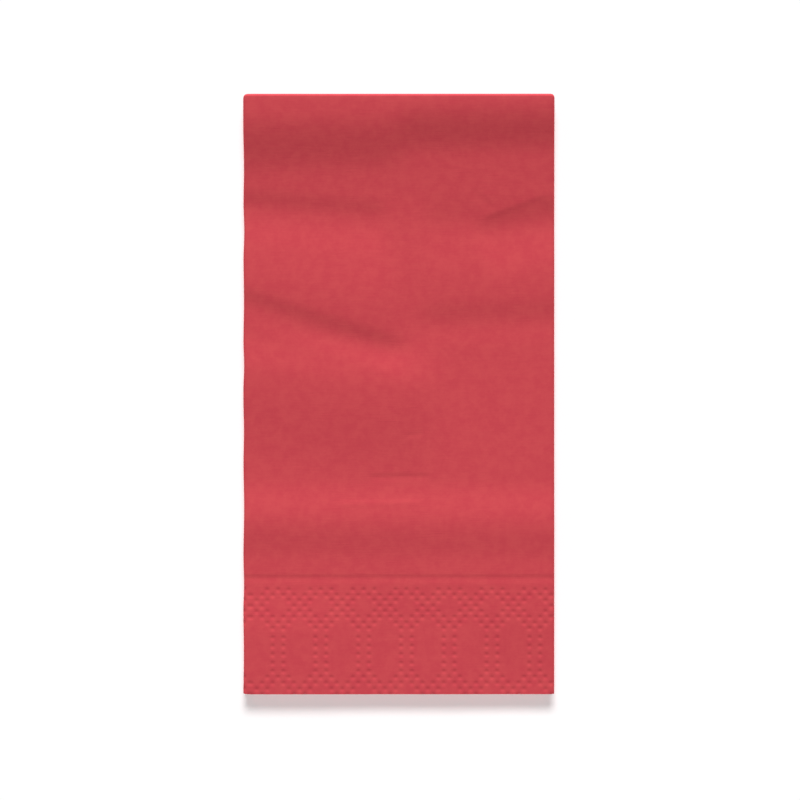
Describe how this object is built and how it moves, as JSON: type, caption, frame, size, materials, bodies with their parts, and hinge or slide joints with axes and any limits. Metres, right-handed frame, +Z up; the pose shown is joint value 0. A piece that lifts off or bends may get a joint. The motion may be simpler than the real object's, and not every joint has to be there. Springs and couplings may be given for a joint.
{
  "type": "folded paper napkin",
  "caption": "Dyed tissue-paper napkin folded to a slim flat rectangle, with folds at its top and sides, cut edges at the open end and a band of small pressed dots there.",
  "frame": {"origin": "middle of the folded napkin's outline, on the surface that it lies on", "axes": "+X across the folded napkin, +Y along it from the open end to the cross fold, +Z up through its layers"},
  "size_m": [0.1, 0.193, 0.0127],
  "materials": {
    "dyed_tissue": "matte"
  },
  "bodies": {
    "root": {"napkin": "dyed_tissue"}
  },
  "joints": []
}
